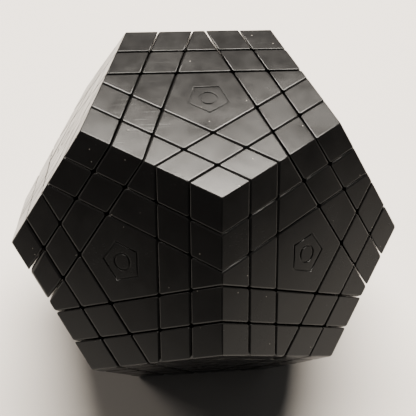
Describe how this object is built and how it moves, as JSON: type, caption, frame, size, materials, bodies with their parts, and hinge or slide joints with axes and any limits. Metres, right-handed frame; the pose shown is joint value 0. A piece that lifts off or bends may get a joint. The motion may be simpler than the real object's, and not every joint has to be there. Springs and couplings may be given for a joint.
{
  "type": "dodecahedron twisty puzzle",
  "caption": "Dodecahedral twisty puzzle whose pentagonal faces turn two layers deep; edge, corner and centre pieces interlock round a sprung core.",
  "frame": {"origin": "centre of the puzzle, where all twelve turning axes meet", "axes": "+Z along the axis of the top face, standing on the opposite face; -Y towards the side seen in use"},
  "size_m": [0.1256, 0.1322, 0.1068],
  "materials": {
    "shell_plastic": "satin-gloss moulded ABS",
    "cap_plastic": "satin-gloss moulded ABS, engraved with a plain pentagon",
    "stem_plastic": "moulded ABS",
    "core_plastic": "moulded nylon",
    "screw_steel": "zinc plated",
    "washer_steel": "zinc plated",
    "spring_steel": "drawn wire"
  },
  "bodies": {
    "core": {"core_cap_1": "cap_plastic", "core_cap_2": "cap_plastic", "core_cap_3": "cap_plastic", "core_cap_4": "cap_plastic", "core_cap_5": "cap_plastic", "core_cap_6": "cap_plastic", "core_cap_7": "cap_plastic", "core_cap_8": "cap_plastic", "core_cap_9": "cap_plastic", "core_corner_1": "shell_plastic", "core_corner_2": "shell_plastic", "core_corner_3": "shell_plastic", "core_corner_4": "shell_plastic", "core_corner_5": "shell_plastic", "core_lower_half": "core_plastic", "core_mid_edges": "shell_plastic", "core_screws": "screw_steel", "core_springs": "spring_steel", "core_stems": "stem_plastic", "core_t_centres": "shell_plastic", "core_upper_half": "core_plastic", "core_washers": "washer_steel", "core_wings": "shell_plastic", "core_x_centres": "shell_plastic"},
    "top_slice": {"top_slice_t_centres": "shell_plastic", "top_slice_wings": "shell_plastic", "top_slice_x_centres": "shell_plastic"},
    "top_face": {"top_face_cap": "cap_plastic", "top_face_corners": "shell_plastic", "top_face_mid_edges": "shell_plastic", "top_face_stem": "stem_plastic", "top_face_t_centres": "shell_plastic", "top_face_wings": "shell_plastic", "top_face_x_centres": "shell_plastic"},
    "right_slice": {"right_slice_t_centres": "shell_plastic", "right_slice_wings": "shell_plastic", "right_slice_x_centres": "shell_plastic"},
    "right_face": {"right_face_cap": "cap_plastic", "right_face_corners": "shell_plastic", "right_face_mid_edges": "shell_plastic", "right_face_stem": "stem_plastic", "right_face_t_centres": "shell_plastic", "right_face_wings": "shell_plastic", "right_face_x_centres": "shell_plastic"},
    "left_slice": {"left_slice_t_centres": "shell_plastic", "left_slice_wings": "shell_plastic", "left_slice_x_centres": "shell_plastic"},
    "left_face": {"left_face_cap": "cap_plastic", "left_face_corners": "shell_plastic", "left_face_mid_edges": "shell_plastic", "left_face_stem": "stem_plastic", "left_face_t_centres": "shell_plastic", "left_face_wings": "shell_plastic", "left_face_x_centres": "shell_plastic"}
  },
  "joints": [
    {"name": "top_slice_turn", "type": "hinge", "parent": "core", "child": "top_slice", "pos_m": [0, 0, 0], "axis": [0, 0, 1], "continuous": true},
    {"name": "top_face_turn", "type": "hinge", "parent": "top_slice", "child": "top_face", "pos_m": [0, 0, 0], "axis": [0, 0, 1], "continuous": true},
    {"name": "right_slice_turn", "type": "hinge", "parent": "core", "child": "right_slice", "pos_m": [0, 0, 0], "axis": [0.8507, -0.2764, -0.4472], "continuous": true},
    {"name": "right_face_turn", "type": "hinge", "parent": "right_slice", "child": "right_face", "pos_m": [0, 0, 0], "axis": [0.8507, -0.2764, -0.4472], "continuous": true},
    {"name": "left_slice_turn", "type": "hinge", "parent": "core", "child": "left_slice", "pos_m": [0, 0, 0], "axis": [-0.8507, -0.2764, -0.4472], "continuous": true},
    {"name": "left_face_turn", "type": "hinge", "parent": "left_slice", "child": "left_face", "pos_m": [0, 0, 0], "axis": [-0.8507, -0.2764, -0.4472], "continuous": true}
  ]
}
